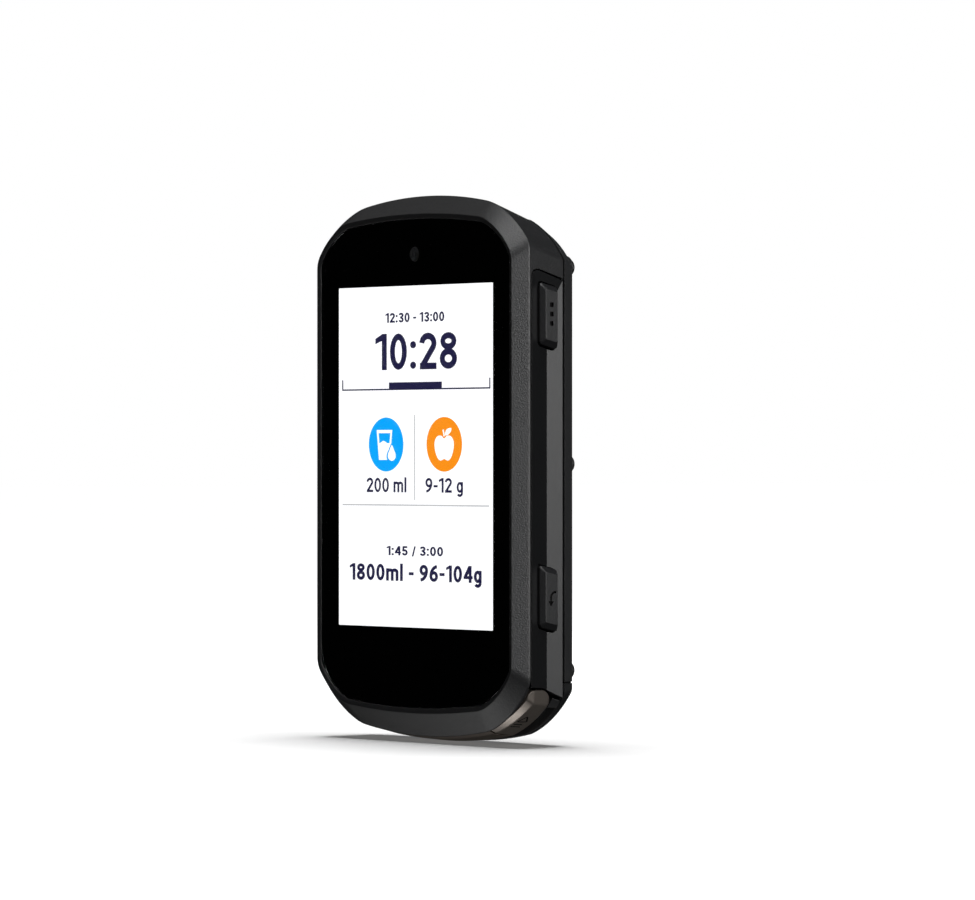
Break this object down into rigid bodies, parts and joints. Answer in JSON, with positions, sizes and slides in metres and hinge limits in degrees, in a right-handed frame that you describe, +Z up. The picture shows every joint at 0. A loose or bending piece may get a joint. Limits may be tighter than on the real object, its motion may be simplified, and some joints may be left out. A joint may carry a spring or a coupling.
{
  "type": "cycling computer",
  "caption": "Handlebar cycling computer: long rounded body with a tall colour display under a black lens, side and corner push buttons and a quarter-turn mount insert on the back.",
  "frame": {"origin": "middle of the rear face of the quarter-turn mount insert", "axes": "+Z up along the long body towards its top end, +Y out of the back along the mount axis, +X towards the rider's right when the screen faces the rider, screen facing -Y"},
  "size_m": [0.0538, 0.0165, 0.09],
  "materials": {
    "housing": "fine matt moulded texture",
    "cap": "fine matt moulded texture, a little darker",
    "band": "smooth satin",
    "button": "fine matt",
    "bronze": "satin warm grey-brown, fine blasted texture",
    "lens": "polished and clear, over a black printed border and the display",
    "screen": "lit display, dark blue figures on white",
    "rubber": "soft matt",
    "foam": "open foam",
    "steel": "bright stamped",
    "magnesium": "cast, matt",
    "black_screw": "black oxide, satin",
    "insert": "glass-filled, dry matt",
    "sensor": "smoked window",
    "board": "solder mask",
    "film": "polyimide film",
    "ceramic": "fired ceramic",
    "cell": "foil pouch with tape",
    "speaker": "moulded frame"
  },
  "bodies": {
    "case": {"front_housing": "housing", "cover_glass": "lens", "lens_adhesive": "rubber", "light_sensor": "sensor", "display_panel": "screen", "display_tray": "steel", "display_flex": "film", "right_side_band": "band", "left_side_band": "band", "right_switch_flex": "film", "left_switch_flex": "film", "menu_switch": "steel", "back_switch": "steel", "power_switch": "steel", "up_switch": "steel", "down_switch": "steel", "start_switch": "steel", "lap_switch": "steel", "bottom_trim": "bronze", "rear_housing": "housing", "bottom_cap": "cap", "main_gasket": "rubber", "usb_receptacle": "steel", "lanyard_pin": "steel", "chassis": "magnesium", "main_board": "board", "board_screw_1": "steel", "board_screw_2": "steel", "board_screw_3": "steel", "board_screw_4": "steel", "rf_shield": "steel", "power_shield": "steel", "gnss_antenna": "ceramic", "battery": "cell", "battery_pad": "foam", "speaker": "speaker", "speaker_gasket": "foam", "vent_membrane": "ceramic", "mount_insert": "insert", "mount_screw_1": "black_screw", "mount_screw_2": "black_screw", "mount_screw_3": "black_screw", "mount_screw_4": "black_screw", "case_screw_1": "black_screw", "case_screw_2": "black_screw", "case_screw_3": "black_screw", "case_screw_4": "black_screw", "case_screw_5": "black_screw", "case_screw_6": "black_screw"},
    "menu_button": {"menu_button": "button"},
    "back_button": {"back_button": "button"},
    "power_button": {"power_button": "button"},
    "up_button": {"up_button": "button"},
    "down_button": {"down_button": "button"},
    "start_button": {"start_button": "bronze"},
    "lap_button": {"lap_button": "bronze"},
    "port_cover": {"port_cover": "rubber"}
  },
  "joints": [
    {"name": "menu_press", "type": "slide", "parent": "case", "child": "menu_button", "axis": [-1, 0, 0], "range_m": [0, 0.0004], "stiffness_N_per_m": 300},
    {"name": "back_press", "type": "slide", "parent": "case", "child": "back_button", "axis": [-1, 0, 0], "range_m": [0, 0.0004], "stiffness_N_per_m": 300},
    {"name": "power_press", "type": "slide", "parent": "case", "child": "power_button", "axis": [1, 0, 0], "range_m": [0, 0.0004], "stiffness_N_per_m": 300},
    {"name": "up_press", "type": "slide", "parent": "case", "child": "up_button", "axis": [1, 0, 0], "range_m": [0, 0.0004], "stiffness_N_per_m": 300},
    {"name": "down_press", "type": "slide", "parent": "case", "child": "down_button", "axis": [1, 0, 0], "range_m": [0, 0.0004], "stiffness_N_per_m": 300},
    {"name": "start_press", "type": "slide", "parent": "case", "child": "start_button", "axis": [-0.493, 0, 0.87], "range_m": [0, 0.0002], "stiffness_N_per_m": 300},
    {"name": "lap_press", "type": "slide", "parent": "case", "child": "lap_button", "axis": [0.493, 0, 0.87], "range_m": [0, 0.0002], "stiffness_N_per_m": 300},
    {"name": "port_cover_swing", "type": "hinge", "parent": "case", "child": "port_cover", "pos_m": [-0.00935, -0.0031, -0.0375], "axis": [0, 0, 1], "range_deg": [0, 110], "stiffness_Nm_per_rad": 0.002}
  ]
}
